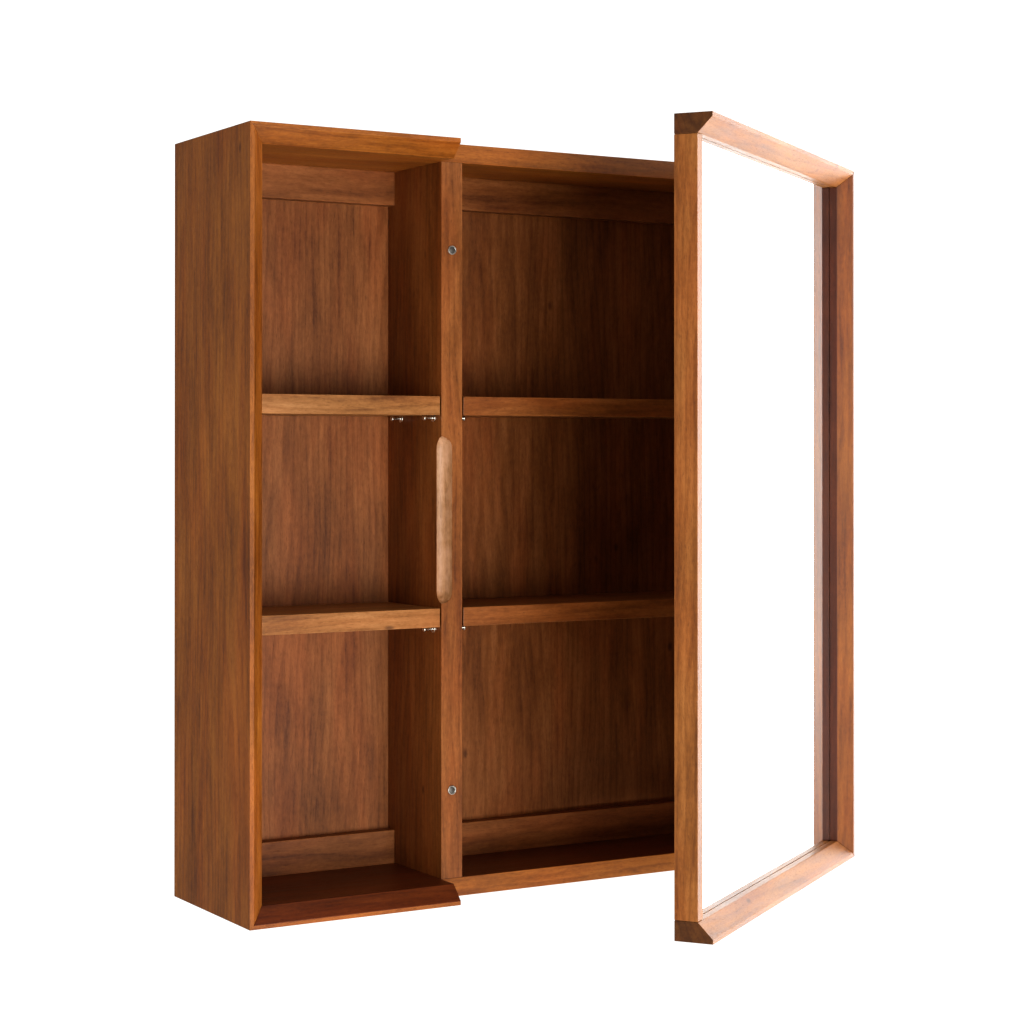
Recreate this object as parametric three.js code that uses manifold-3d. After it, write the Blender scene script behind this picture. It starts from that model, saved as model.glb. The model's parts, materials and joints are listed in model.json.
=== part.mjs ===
// Wall-hung medicine cabinet: a wooden case with an open shelf bay on the left and, on the
// right, a bay behind a hinged door that carries a mirror.
//
// Millimetres, +X to the right, +Y towards the wall, +Z up. Everything is laid out in cabinet
// coordinates, with x from the left outer side, y from the wall (negative towards the room)
// and z from the underside. The last lines move the origin to the hanging cleat.

import * as THREE from 'three';
import { mergeVertices } from 'three/addons/utils/BufferGeometryUtils.js';
import Module from 'manifold-3d';

const wasm = await Module();
wasm.setup();

// ---------------------------------------------------------------------------------------
// Driving dimensions
// ---------------------------------------------------------------------------------------

// Case
const WIDTH = 710;
const HEIGHT = 762;
const CASE_DEPTH = 146; // wall to the front edges of the divider and shelves
const BOARD = 19; // case boards, shelves and door rails
const NOSE = 4.4; // flat left on the front of a bevelled board
const DIVIDER = 24;
const LEFT_BAY = 209; // clear width of the open bay
const MITRE_GAP = 0.2;
const FIT_GAP = 0.3; // round a board that lies in a groove or a rabbet

// Back of the case
const BACK_PANEL = 12;
const BACK_RECESS = 18; // hollow behind the back panel, for the cleat on the wall
const BACK_GROOVE = 7;
const RAIL_HEIGHT = 35;
const RAIL_THICKNESS = 15;
const CLEAT_HEIGHT = 60;
const SPACER_HEIGHT = 35;

// Shelves, counted from the bottom board up
const LOWER_SPACE = 254; // clear height under the lower shelf
const MIDDLE_SPACE = 195; // clear height between the two shelves
const SHELF_SIDE_GAP = 1.5;
const SHELF_BACK_GAP = 1.5;
const SHELF_REST = 0.2; // shelf to the top of its pins

// Shelf pins
const PIN_RADIUS = 2.5;
const PIN_LENGTH = 12;
const PIN_SHANK = 8;
const COLLAR_RADIUS = 4;
const COLLAR_THICKNESS = 1.2;
const FRONT_PIN_SETBACK = 16; // from the case front
const REAR_PIN_SETBACK = 86;
const HOLE_GAP = 0.2;
const EASED_EDGE = 0.5; // on the ends of turned metal pieces

// Finger recess in the divider's front left edge
const RECESS_LENGTH = 169;
const RECESS_RADIUS = 13;
const RECESS_SETFORWARD = 3; // the cutter's path lies this far in front of the divider

// Door
const DOOR_OPEN = THREE.MathUtils.degToRad(35);
const DOOR_SIDE_GAP = 1; // free edge to the ends of the bevelled boards beside it
const STILE_DEPTH = 23; // thickness of the free stile
const FREE_STILE_WIDTH = 14;
const MIRROR_RECESS = 8; // free stile's face to the mirror
const MIRROR = 4;
const RABBET = 6; // how far the mirror reaches behind the frame
const TURNED_GAP = 0.3; // between touching pieces of the door

// Magnetic catches
const MAGNET_RADIUS = 4.5;
const MAGNET_LENGTH = 8;
const MAGNET_INSET = 12; // centre to the divider's left face
const MAGNET_FROM_END = 108; // centre to the top or the underside of the case
const STRIKE_RADIUS = 6;
const STRIKE_PROUD = 0.8;
const STRIKE_SPIGOT = 3;
const SPIGOT_RADIUS = 1.5;
const CATCH_GAP = 0.2; // magnet to strike disc on the closed door

// Retaining plates on the back of the door
const PLATE_LENGTH = 24;
const PLATE_WIDTH = 10;
const PLATE_THICKNESS = 1;
const PLATE_HEAD_RADIUS = 2.6;
const PLATE_HEAD = 0.7;
const PLATE_FROM_END = 90; // centre to the inner edge of the hinge or free stile

// Hinges
const HINGE_HEIGHT = 51;
const HINGE_FROM_END = 110; // centre to the top or the underside of the case
const LEAF_WIDTH = 12;
const LEAF = 1;
const LEAF_GAP = 0.4; // between the leaves of a closed hinge
const BARREL_RADIUS = 3.2;
const BARREL_GAP = 0.3; // barrel to the outer side of the case
const KNUCKLES = 3;
const KNUCKLE_GAP = 0.3;
const HINGE_PIN_RADIUS = 1.5;
const HINGE_PIN_GAP = 0.3;
const HINGE_PIN_HEAD = 1.2;

// Hinge screws
const SCREW_HEAD_RADIUS = 2.3;
const SCREW_RADIUS = 1.2;
const SCREW_LENGTH = 14;
const SCREW_PITCH = 30; // between the two screws of a leaf
const SCREW_FROM_SIDE = 6.5; // screw line to the outer side

// ---------------------------------------------------------------------------------------
// Places that follow from them
// ---------------------------------------------------------------------------------------

const BEVEL = BOARD - NOSE; // the bevel is cut at 45 degrees, as deep as it is wide
const CASE_FRONT = -CASE_DEPTH;
const DOOR_GAP = 2 * LEAF + LEAF_GAP + TURNED_GAP; // case front to the closed door
const DOOR_BACK = CASE_FRONT - DOOR_GAP;
const STILE_FACE = DOOR_BACK - STILE_DEPTH;
const TIP = STILE_FACE - BEVEL; // foremost plane of the open bay and of the door

const DIVIDER_LEFT = BOARD + LEFT_BAY;
const DIVIDER_RIGHT = DIVIDER_LEFT + DIVIDER;
const RIGHT_INSIDE = WIDTH - BOARD;
const FLOOR = BOARD;
const CEILING = HEIGHT - BOARD;

const BACK_REAR = -BACK_RECESS;
const BACK_FRONT = BACK_REAR - BACK_PANEL;
const RAIL_FRONT = BACK_FRONT - RAIL_THICKNESS;
const LOWER_SHELF = FLOOR + LOWER_SPACE; // undersides of the shelves
const UPPER_SHELF = LOWER_SHELF + BOARD + MIDDLE_SPACE;

const DOOR_LEFT = DIVIDER_LEFT + DOOR_SIDE_GAP;
const MIRROR_FACE = STILE_FACE + MIRROR_RECESS;
const HINGE_X = WIDTH + BARREL_GAP + BARREL_RADIUS;
const HINGE_Y = CASE_FRONT - LEAF - LEAF_GAP / 2;
const DOOR_SEAT = DOOR_BACK + TURNED_GAP; // face of what is fixed on the back of the door
const CLEAT_CENTRE = CEILING - CLEAT_HEIGHT / 2;
const MAGNET_PROUD = DOOR_GAP - TURNED_GAP - STRIKE_PROUD - CATCH_GAP;

// ---------------------------------------------------------------------------------------
// Materials
// ---------------------------------------------------------------------------------------

function material(colour, roughness, metalness) {
  return new THREE.MeshStandardMaterial({ color: colour, roughness, metalness, flatShading: true });
}

const outerWood = material(0x7a4a25, 0.5, 0);
const innerWood = material(0x4e2a10, 0.55, 0);
const frameWood = material(0x8a5228, 0.45, 0);
const hiddenWood = material(0x9a7a52, 0.7, 0);
const silvered = material(0xf2f4f5, 0.04, 1);
const steel = material(0xb8b6b0, 0.35, 1);
const nickel = material(0xcfcdc8, 0.3, 1);

// ---------------------------------------------------------------------------------------
// Solids
// ---------------------------------------------------------------------------------------

// Turns a closed geometry into a solid that can be joined and cut.
function solid(geometry) {
  geometry.deleteAttribute('normal');
  geometry.deleteAttribute('uv');
  const merged = mergeVertices(geometry, 1e-5);
  const index = merged.index.array;
  const triangles = [];
  for (let i = 0; i < index.length; i += 3) {
    const [a, b, c] = [index[i], index[i + 1], index[i + 2]];
    if (a !== b && b !== c && c !== a) {
      triangles.push(a, b, c);
    }
  }
  return new wasm.Manifold(new wasm.Mesh({
    numProp: 3,
    vertProperties: new Float32Array(merged.attributes.position.array),
    triVerts: new Uint32Array(triangles),
  }));
}

function toGeometry(body) {
  const { vertProperties, triVerts } = body.getMesh();
  const geometry = new THREE.BufferGeometry();
  geometry.setAttribute('position', new THREE.BufferAttribute(vertProperties, 3));
  geometry.setIndex(new THREE.BufferAttribute(triVerts, 1));
  geometry.computeVertexNormals();
  return geometry;
}

function cutAll(body, cutters) {
  return cutters.reduce((left, cutter) => left.subtract(cutter), body);
}

// Puts a shape's end faces exactly on the given planes, so that boards which meet there share
// the plane to the last digit.
function ends(position, axis, from, to) {
  for (let i = 0; i < position.count; i += 1) {
    position.setComponent(i, axis, position.getComponent(i, axis) > 0 ? to : from);
  }
}

// A block between two corners.
function block(...ranges) {
  const geometry = new THREE.BoxGeometry();
  ranges.forEach(([from, to], axis) => ends(geometry.attributes.position, axis, from, to));
  return solid(geometry);
}

// An outline extruded along one axis. The outline's two coordinates are those along the
// next two axes in the order X, Y, Z, X, Y: [y, z] along X, [z, x] along Y, [x, y] along Z.
const AXES = {
  X: new THREE.Vector3(1, 0, 0),
  Y: new THREE.Vector3(0, 1, 0),
  Z: new THREE.Vector3(0, 0, 1),
};

function prism(along, outline, from, to) {
  const shape = new THREE.Shape(outline.map(([u, v]) => new THREE.Vector2(u, v)));
  const geometry = new THREE.ExtrudeGeometry(shape, { depth: 1, bevelEnabled: false });
  ends(geometry.attributes.position, 2, from, to);
  const [u, v] = { X: [AXES.Y, AXES.Z], Y: [AXES.Z, AXES.X], Z: [AXES.X, AXES.Y] }[along];
  geometry.applyMatrix4(new THREE.Matrix4().makeBasis(u, v, AXES[along]));
  return solid(geometry);
}

// A board outline in the cabinet's front plane, given as [x, z], and its depth range.
function frontPrism(outline, from, to) {
  return prism('Y', outline.map(([x, z]) => [z, x]), from, to);
}

// A turned piece on +Z, from its profile of [radius, height] points.
function turned(profile, segments) {
  const points = profile.map(([radius, height]) => new THREE.Vector2(radius, height));
  const geometry = new THREE.LatheGeometry(points, segments);
  geometry.rotateX(Math.PI / 2);
  return solid(geometry);
}

function rod(radius, from, to, segments) {
  return turned([[0, from], [radius, from], [radius, to], [0, to]], segments);
}

function placed(body, x, y, z, turn = new THREE.Euler()) {
  const matrix = new THREE.Matrix4().makeRotationFromEuler(turn).setPosition(x, y, z);
  return body.transform(matrix.elements);
}

const TO_LEFT = new THREE.Euler(0, -Math.PI / 2, 0); // turns +Z to -X
const TO_RIGHT = new THREE.Euler(0, Math.PI / 2, 0); // turns +Z to +X
const TO_FRONT = new THREE.Euler(Math.PI / 2, 0, 0); // turns +Z to -Y
const TO_WALL = new THREE.Euler(-Math.PI / 2, 0, 0); // turns +Z to +Y

// ---------------------------------------------------------------------------------------
// Scene graph
// ---------------------------------------------------------------------------------------

const cabinet = new THREE.Group();
const caseGroup = new THREE.Group();
const doorHinge = new THREE.Group(); // turns about the hinge axis
const doorGroup = new THREE.Group(); // the closed door, in cabinet coordinates

doorHinge.position.set(HINGE_X, HINGE_Y, 0);
doorHinge.rotation.z = DOOR_OPEN;
doorGroup.position.set(-HINGE_X, -HINGE_Y, 0);
doorHinge.add(doorGroup);
cabinet.add(caseGroup, doorHinge);
cabinet.position.set(-WIDTH / 2, 0, -CLEAT_CENTRE);

function addPiece(group, name, body, look) {
  const mesh = new THREE.Mesh(toGeometry(body), look);
  mesh.name = name;
  group.add(mesh);
  return mesh;
}

// ---------------------------------------------------------------------------------------
// Shelf pins and screws
// ---------------------------------------------------------------------------------------

const shelfPin = turned([
  [0, -PIN_SHANK],
  [PIN_RADIUS, -PIN_SHANK],
  [PIN_RADIUS, 0],
  [COLLAR_RADIUS, 0],
  [COLLAR_RADIUS, COLLAR_THICKNESS],
  [PIN_RADIUS, COLLAR_THICKNESS],
  [PIN_RADIUS, PIN_LENGTH - EASED_EDGE],
  [PIN_RADIUS - EASED_EDGE, PIN_LENGTH],
  [0, PIN_LENGTH],
], 16);

const pinHole = rod(PIN_RADIUS + HOLE_GAP, -PIN_SHANK - HOLE_GAP, 1, 16);

// Where the pins of one bay stand: both shelves, both walls, front and rear.
function pinPlaces(leftWall, rightWall) {
  const places = [];
  for (const [shelf, underside] of [['lower', LOWER_SHELF], ['upper', UPPER_SHELF]]) {
    for (const [wall, x, turn] of [['left', leftWall, TO_RIGHT], ['right', rightWall, TO_LEFT]]) {
      for (const [row, setback] of [['front', FRONT_PIN_SETBACK], ['rear', REAR_PIN_SETBACK]]) {
        const y = CASE_FRONT + setback;
        const z = underside - SHELF_REST - PIN_RADIUS;
        places.push({ shelf, wall, row, x, y, z, turn });
      }
    }
  }
  return places;
}

const openBayPins = pinPlaces(BOARD, DIVIDER_LEFT);
const doorBayPins = pinPlaces(DIVIDER_RIGHT, RIGHT_INSIDE);

function pinHoles(places, wall) {
  return places.filter((pin) => pin.wall === wall)
    .map(({ x, y, z, turn }) => placed(pinHole, x, y, z, turn));
}

// A countersunk screw on -Z, with its head's flat face at zero. The same profile, a little
// larger, is its hole.
function screwSolid(gap) {
  const slope = SCREW_HEAD_RADIUS - SCREW_RADIUS;
  return turned([
    [0, -SCREW_LENGTH - gap],
    [SCREW_RADIUS + gap, -SCREW_LENGTH - gap],
    [SCREW_RADIUS + gap, -slope],
    [SCREW_HEAD_RADIUS + gap, 0],
    [SCREW_HEAD_RADIUS + gap, gap],
    [0, gap],
  ], 16);
}

const screw = screwSolid(0);
const screwHole = screwSolid(HOLE_GAP);

const hinges = [
  { name: 'lower', z: HINGE_FROM_END },
  { name: 'upper', z: HEIGHT - HINGE_FROM_END },
];

// Screw places of the leaf that lies on the given plane, heads towards the other leaf.
function screwPlaces(plane, turn) {
  const places = [];
  for (const hinge of hinges) {
    for (const [end, side] of [['low', -1], ['high', 1]]) {
      const z = hinge.z + side * SCREW_PITCH / 2;
      places.push({ hinge: hinge.name, end, x: WIDTH - SCREW_FROM_SIDE, y: plane, z, turn });
    }
  }
  return places;
}

const caseScrews = screwPlaces(CASE_FRONT - LEAF, TO_FRONT);
const doorScrews = screwPlaces(DOOR_SEAT + LEAF, TO_WALL);

function screwHoles(places) {
  return places.map(({ x, y, z, turn }) => placed(screwHole, x, y, z, turn));
}

// ---------------------------------------------------------------------------------------
// Case boards
// ---------------------------------------------------------------------------------------

// The groove that all four outer boards share, for the back panel.
const backPanelSlot = block(
  [BOARD - BACK_GROOVE, RIGHT_INSIDE + BACK_GROOVE],
  [BACK_FRONT - FIT_GAP, BACK_REAR + FIT_GAP],
  [FLOOR - BACK_GROOVE, CEILING + BACK_GROOVE],
);

// The bevel along the open bay's front edges, as an outline of [depth, distance inwards from
// the board's outer face].
const bevelOutline = [
  [TIP, NOSE],
  [TIP + BEVEL, BOARD],
  [TIP + BEVEL, BOARD + 1],
  [TIP - 1, BOARD + 1],
  [TIP - 1, NOSE],
];

function sideBevel() {
  return prism('Z', bevelOutline.map(([y, inwards]) => [inwards, y]), 0, HEIGHT);
}

function levelBevel(x1, height) {
  return prism('X', bevelOutline.map(([y, inwards]) => [y, height(inwards)]), 0, x1);
}

// Mitred outlines in the front plane.
const sideOutline = [
  [0, MITRE_GAP],
  [BOARD, BOARD + MITRE_GAP],
  [BOARD, CEILING - MITRE_GAP],
  [0, HEIGHT - MITRE_GAP],
];
const bottomOutline = [[0, 0], [WIDTH, 0], [RIGHT_INSIDE, BOARD], [BOARD, BOARD]];

function mirroredInX(outline) {
  return outline.map(([x, z]) => [WIDTH - x, z]).reverse();
}

function mirroredInZ(outline) {
  return outline.map(([x, z]) => [x, HEIGHT - z]).reverse();
}

function leftSide() {
  return cutAll(frontPrism(sideOutline, TIP, 0), [
    sideBevel(),
    backPanelSlot,
    ...pinHoles(openBayPins, 'left'),
  ]);
}

function rightSide() {
  return cutAll(frontPrism(mirroredInX(sideOutline), CASE_FRONT, 0), [
    backPanelSlot,
    ...pinHoles(doorBayPins, 'right'),
    ...screwHoles(caseScrews),
  ]);
}

// The top or the bottom board: it comes forward to the tip only in front of the open bay.
function levelBoard(outline, height) {
  const doorSpace = block([DIVIDER_LEFT, WIDTH + 1], [TIP - 1, CASE_FRONT], [-1, HEIGHT + 1]);
  return cutAll(frontPrism(outline, TIP, 0), [
    doorSpace,
    levelBevel(DIVIDER_LEFT + 1, height),
    backPanelSlot,
  ]);
}

// ---------------------------------------------------------------------------------------
// Divider with its finger recess
// ---------------------------------------------------------------------------------------

const magnetHeights = { lower: MAGNET_FROM_END, upper: HEIGHT - MAGNET_FROM_END };
const MAGNET_X = DIVIDER_LEFT + MAGNET_INSET;

// A round-nosed cut along the front left edge, with ball ends.
function fingerRecess() {
  const reach = Math.sqrt(RECESS_RADIUS ** 2 - RECESS_SETFORWARD ** 2);
  const geometry = new THREE.CapsuleGeometry(RECESS_RADIUS, RECESS_LENGTH - 2 * reach, 6, 24);
  geometry.rotateX(Math.PI / 2);
  return placed(solid(geometry), DIVIDER_LEFT, CASE_FRONT - RECESS_SETFORWARD, HEIGHT / 2);
}

function divider() {
  const body = block([DIVIDER_LEFT, DIVIDER_RIGHT], [CASE_FRONT, BACK_FRONT], [FLOOR, CEILING]);
  const bore = rod(MAGNET_RADIUS + HOLE_GAP, -MAGNET_LENGTH - HOLE_GAP, 1, 24);
  const bores = Object.values(magnetHeights)
    .map((z) => placed(bore, MAGNET_X, CASE_FRONT, z, TO_FRONT));
  return cutAll(body, [
    fingerRecess(),
    ...bores,
    ...pinHoles(openBayPins, 'right'),
    ...pinHoles(doorBayPins, 'left'),
  ]);
}

// ---------------------------------------------------------------------------------------
// Back panel, rails and cleat
// ---------------------------------------------------------------------------------------

function backPanel() {
  const reach = BACK_GROOVE - FIT_GAP;
  return block(
    [BOARD - reach, RIGHT_INSIDE + reach],
    [BACK_FRONT, BACK_REAR],
    [FLOOR - reach, CEILING + reach],
  );
}

// The cleat's underside slopes up towards the back panel, so that it hooks over the rail on
// the wall.
function cleat() {
  const bottom = CEILING - CLEAT_HEIGHT;
  const outline = [
    [BACK_REAR, bottom + BACK_RECESS],
    [0, bottom],
    [0, CEILING],
    [BACK_REAR, CEILING],
  ];
  return prism('X', outline, BOARD, RIGHT_INSIDE);
}

const upperRail = [CEILING - RAIL_HEIGHT, CEILING];
const lowerRail = [FLOOR, FLOOR + RAIL_HEIGHT];
const bays = [
  { name: 'open_bay', inside: [BOARD, DIVIDER_LEFT], pins: openBayPins },
  { name: 'door_bay', inside: [DIVIDER_RIGHT, RIGHT_INSIDE], pins: doorBayPins },
];

addPiece(caseGroup, 'left_side', leftSide(), outerWood);
addPiece(caseGroup, 'right_side', rightSide(), outerWood);
addPiece(
  caseGroup,
  'top_board',
  levelBoard(mirroredInZ(bottomOutline), (inwards) => HEIGHT - inwards),
  outerWood,
);
addPiece(caseGroup, 'bottom_board', levelBoard(bottomOutline, (inwards) => inwards), outerWood);
addPiece(caseGroup, 'divider', divider(), frameWood);
addPiece(caseGroup, 'back_panel', backPanel(), innerWood);
addPiece(caseGroup, 'hanging_cleat', cleat(), hiddenWood);
addPiece(
  caseGroup,
  'wall_spacer',
  block([BOARD, RIGHT_INSIDE], [BACK_REAR, 0], [FLOOR, FLOOR + SPACER_HEIGHT]),
  hiddenWood,
);

// ---------------------------------------------------------------------------------------
// Fittings of each bay
// ---------------------------------------------------------------------------------------

function shelf([left, right], underside) {
  return block(
    [left + SHELF_SIDE_GAP, right - SHELF_SIDE_GAP],
    [CASE_FRONT, BACK_FRONT - SHELF_BACK_GAP],
    [underside, underside + BOARD],
  );
}

for (const { name, inside, pins } of bays) {
  const railDepth = [RAIL_FRONT, BACK_FRONT];
  addPiece(caseGroup, `${name}_upper_rail`, block(inside, railDepth, upperRail), innerWood);
  addPiece(caseGroup, `${name}_lower_rail`, block(inside, railDepth, lowerRail), innerWood);
  addPiece(caseGroup, `${name}_lower_shelf`, shelf(inside, LOWER_SHELF), frameWood);
  addPiece(caseGroup, `${name}_upper_shelf`, shelf(inside, UPPER_SHELF), frameWood);
  for (const pin of pins) {
    const pinName = `${name}_pin_${pin.shelf}_${pin.wall}_${pin.row}`;
    const mesh = addPiece(caseGroup, pinName, shelfPin, nickel);
    mesh.position.set(pin.x, pin.y, pin.z);
    mesh.rotation.copy(pin.turn);
  }
}

// ---------------------------------------------------------------------------------------
// Magnetic catches
// ---------------------------------------------------------------------------------------

const magnet = turned([
  [0, -MAGNET_LENGTH],
  [MAGNET_RADIUS, -MAGNET_LENGTH],
  [MAGNET_RADIUS, MAGNET_PROUD - EASED_EDGE],
  [MAGNET_RADIUS - EASED_EDGE, MAGNET_PROUD],
  [0, MAGNET_PROUD],
], 24);

// A steel disc with a spigot that is pressed into the door's back board.
const strike = turned([
  [0, -STRIKE_SPIGOT],
  [SPIGOT_RADIUS, -STRIKE_SPIGOT],
  [SPIGOT_RADIUS, 0],
  [STRIKE_RADIUS, 0],
  [STRIKE_RADIUS, STRIKE_PROUD],
  [0, STRIKE_PROUD],
], 24);

for (const [name, z] of Object.entries(magnetHeights)) {
  const magnetMesh = addPiece(caseGroup, `${name}_magnet`, magnet, steel);
  magnetMesh.position.set(MAGNET_X, CASE_FRONT, z);
  magnetMesh.rotation.copy(TO_FRONT);
  const strikeMesh = addPiece(doorGroup, `${name}_strike`, strike, steel);
  strikeMesh.position.set(MAGNET_X, DOOR_SEAT, z);
  strikeMesh.rotation.copy(TO_WALL);
}

// ---------------------------------------------------------------------------------------
// Door frame, mirror and back board
// ---------------------------------------------------------------------------------------

const OPENING_LEFT = DOOR_LEFT + FREE_STILE_WIDTH;
const opening = { x: [OPENING_LEFT, RIGHT_INSIDE], z: [FLOOR, CEILING] };

function grown([low, high], by) {
  return [low - by, high + by];
}

// The rabbet for the mirror and its back board, cut from behind.
const rabbetSpace = block(
  grown(opening.x, RABBET),
  [MIRROR_FACE, DOOR_BACK + 1],
  grown(opening.z, RABBET),
);

// The bottom rail runs the full width, square at the free edge and mitred at the hinge stile.
const doorRailOutline = [
  [DOOR_LEFT, 0],
  [WIDTH - MITRE_GAP, 0],
  [RIGHT_INSIDE - MITRE_GAP, BOARD],
  [DOOR_LEFT, BOARD],
];

function doorRail(outline, height) {
  const bevel = prism(
    'X',
    bevelOutline.map(([y, inwards]) => [y, height(inwards)]),
    DOOR_LEFT - 1,
    WIDTH,
  );
  return cutAll(frontPrism(outline, TIP, DOOR_BACK), [bevel, rabbetSpace]);
}

function hingeStile() {
  const bevel = prism(
    'Z',
    bevelOutline.map(([y, inwards]) => [WIDTH - inwards, y]),
    0,
    HEIGHT,
  );
  return cutAll(frontPrism(mirroredInX(sideOutline), TIP, DOOR_BACK), [
    bevel,
    rabbetSpace,
    ...screwHoles(doorScrews),
  ]);
}

function freeStile() {
  const body = block(
    [DOOR_LEFT, OPENING_LEFT],
    [STILE_FACE, DOOR_BACK],
    grown(opening.z, -TURNED_GAP),
  );
  return body.subtract(rabbetSpace);
}

function inRabbet(depth) {
  return block(
    grown(opening.x, RABBET - TURNED_GAP),
    depth,
    grown(opening.z, RABBET - TURNED_GAP),
  );
}

const BOARD_FACE = MIRROR_FACE + MIRROR + 2 * TURNED_GAP;

function doorBackBoard() {
  const bore = rod(SPIGOT_RADIUS + HOLE_GAP, -STRIKE_SPIGOT - HOLE_GAP, 1, 24);
  const bores = Object.values(magnetHeights)
    .map((z) => placed(bore, MAGNET_X, DOOR_BACK, z, TO_WALL));
  return cutAll(inRabbet([BOARD_FACE, DOOR_BACK]), bores);
}

addPiece(doorGroup, 'door_bottom_rail', doorRail(doorRailOutline, (inwards) => inwards), frameWood);
addPiece(
  doorGroup,
  'door_top_rail',
  doorRail(mirroredInZ(doorRailOutline), (inwards) => HEIGHT - inwards),
  frameWood,
);
addPiece(doorGroup, 'door_hinge_stile', hingeStile(), frameWood);
addPiece(doorGroup, 'door_free_stile', freeStile(), frameWood);
addPiece(
  doorGroup,
  'mirror',
  inRabbet([MIRROR_FACE + TURNED_GAP, MIRROR_FACE + TURNED_GAP + MIRROR]),
  silvered,
);
addPiece(doorGroup, 'door_back_board', doorBackBoard(), hiddenWood);

// A flat plate with two screw heads, one on the frame and one on the back board.
function retainingPlate() {
  const half = PLATE_LENGTH / 2;
  const plate = block([-PLATE_WIDTH / 2, PLATE_WIDTH / 2], [-half, half], [0, PLATE_THICKNESS]);
  const head = turned([
    [0, PLATE_THICKNESS / 2],
    [PLATE_HEAD_RADIUS, PLATE_THICKNESS / 2],
    [PLATE_HEAD_RADIUS, PLATE_THICKNESS],
    [PLATE_HEAD_RADIUS / 2, PLATE_THICKNESS + PLATE_HEAD],
    [0, PLATE_THICKNESS + PLATE_HEAD],
  ], 16);
  const offset = half - PLATE_WIDTH / 2;
  return plate.add(placed(head, 0, -offset, 0)).add(placed(head, 0, offset, 0));
}

const plate = retainingPlate();
const plateColumns = {
  left: opening.x[0] + PLATE_FROM_END,
  right: opening.x[1] - PLATE_FROM_END,
};
const plateRows = { lower: FLOOR - RABBET, upper: CEILING + RABBET };
for (const [column, x] of Object.entries(plateColumns)) {
  for (const [row, z] of Object.entries(plateRows)) {
    const mesh = addPiece(doorGroup, `${row}_${column}_retaining_plate`, plate, steel);
    mesh.position.set(x, DOOR_SEAT, z);
    mesh.rotation.copy(TO_WALL);
  }
}

// ---------------------------------------------------------------------------------------
// Hinges
// ---------------------------------------------------------------------------------------

// One leaf between two depths, with the knuckles whose numbers are given.
function hingeLeaf(depth, ownKnuckles, screws) {
  const height = [-HINGE_HEIGHT / 2, HINGE_HEIGHT / 2];
  const step = HINGE_HEIGHT / KNUCKLES;
  let leaf = block([WIDTH - LEAF_WIDTH, WIDTH], depth, height);
  for (const number of ownKnuckles) {
    const low = height[0] + number * step + KNUCKLE_GAP / 2;
    const high = low + step - KNUCKLE_GAP;
    const knuckle = rod(BARREL_RADIUS, low, high, 24);
    leaf = leaf.add(block([WIDTH - 1, HINGE_X], depth, [low, high]));
    leaf = leaf.add(placed(knuckle, HINGE_X, HINGE_Y, 0));
  }
  const bore = rod(HINGE_PIN_RADIUS + HINGE_PIN_GAP, -HINGE_HEIGHT, HINGE_HEIGHT, 16);
  return cutAll(leaf, [placed(bore, HINGE_X, HINGE_Y, 0), ...screws]);
}

const hingePin = turned([
  [0, -HINGE_HEIGHT / 2 - HINGE_PIN_HEAD],
  [BARREL_RADIUS - EASED_EDGE, -HINGE_HEIGHT / 2 - HINGE_PIN_HEAD],
  [BARREL_RADIUS, -HINGE_HEIGHT / 2 - HINGE_PIN_HEAD + EASED_EDGE],
  [BARREL_RADIUS, -HINGE_HEIGHT / 2],
  [HINGE_PIN_RADIUS, -HINGE_HEIGHT / 2],
  [HINGE_PIN_RADIUS, HINGE_HEIGHT / 2 + HINGE_PIN_HEAD],
  [0, HINGE_HEIGHT / 2 + HINGE_PIN_HEAD],
], 16);

function leafScrewHoles(places, hinge) {
  return places.filter((place) => place.hinge === hinge.name)
    .map(({ x, y, z, turn }) => placed(screwHole, x, y, z - hinge.z, turn));
}

for (const hinge of hinges) {
  const caseHoles = leafScrewHoles(caseScrews, hinge);
  const doorHoles = leafScrewHoles(doorScrews, hinge);
  const caseLeaf = hingeLeaf([CASE_FRONT - LEAF, CASE_FRONT], [0, 2], caseHoles);
  const doorLeaf = hingeLeaf([DOOR_SEAT, DOOR_SEAT + LEAF], [1], doorHoles);
  addPiece(caseGroup, `${hinge.name}_hinge_case_leaf`, caseLeaf, nickel).position.z = hinge.z;
  addPiece(doorGroup, `${hinge.name}_hinge_door_leaf`, doorLeaf, nickel).position.z = hinge.z;
  const pin = addPiece(caseGroup, `${hinge.name}_hinge_pin`, hingePin, nickel);
  pin.position.set(HINGE_X, HINGE_Y, hinge.z);
}

function addScrews(group, owner, places) {
  for (const { hinge, end, x, y, z, turn } of places) {
    const mesh = addPiece(group, `${hinge}_hinge_${owner}_screw_${end}`, screw, nickel);
    mesh.position.set(x, y, z);
    mesh.rotation.copy(turn);
  }
}

addScrews(caseGroup, 'case', caseScrews);
addScrews(doorGroup, 'door', doorScrews);

export default cabinet;
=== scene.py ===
"""Finish for a wall-hung medicine cabinet: an open shelf bay on the left, and on the right a bay
behind a hinged door that carries a mirror.

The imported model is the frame. Metres, +X to the right, +Y towards the wall, +Z up, with the
origin on the wall face at the middle of the hanging cleat. Boards keep their CAD shape and get
eased edges and stained wood. The mirror and the metal fittings are modelled here, each in the
place and at the size that the frame gives.
"""

import itertools
import json
import math
import random

import bmesh
import bpy
from mathutils import Matrix, Vector


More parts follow.
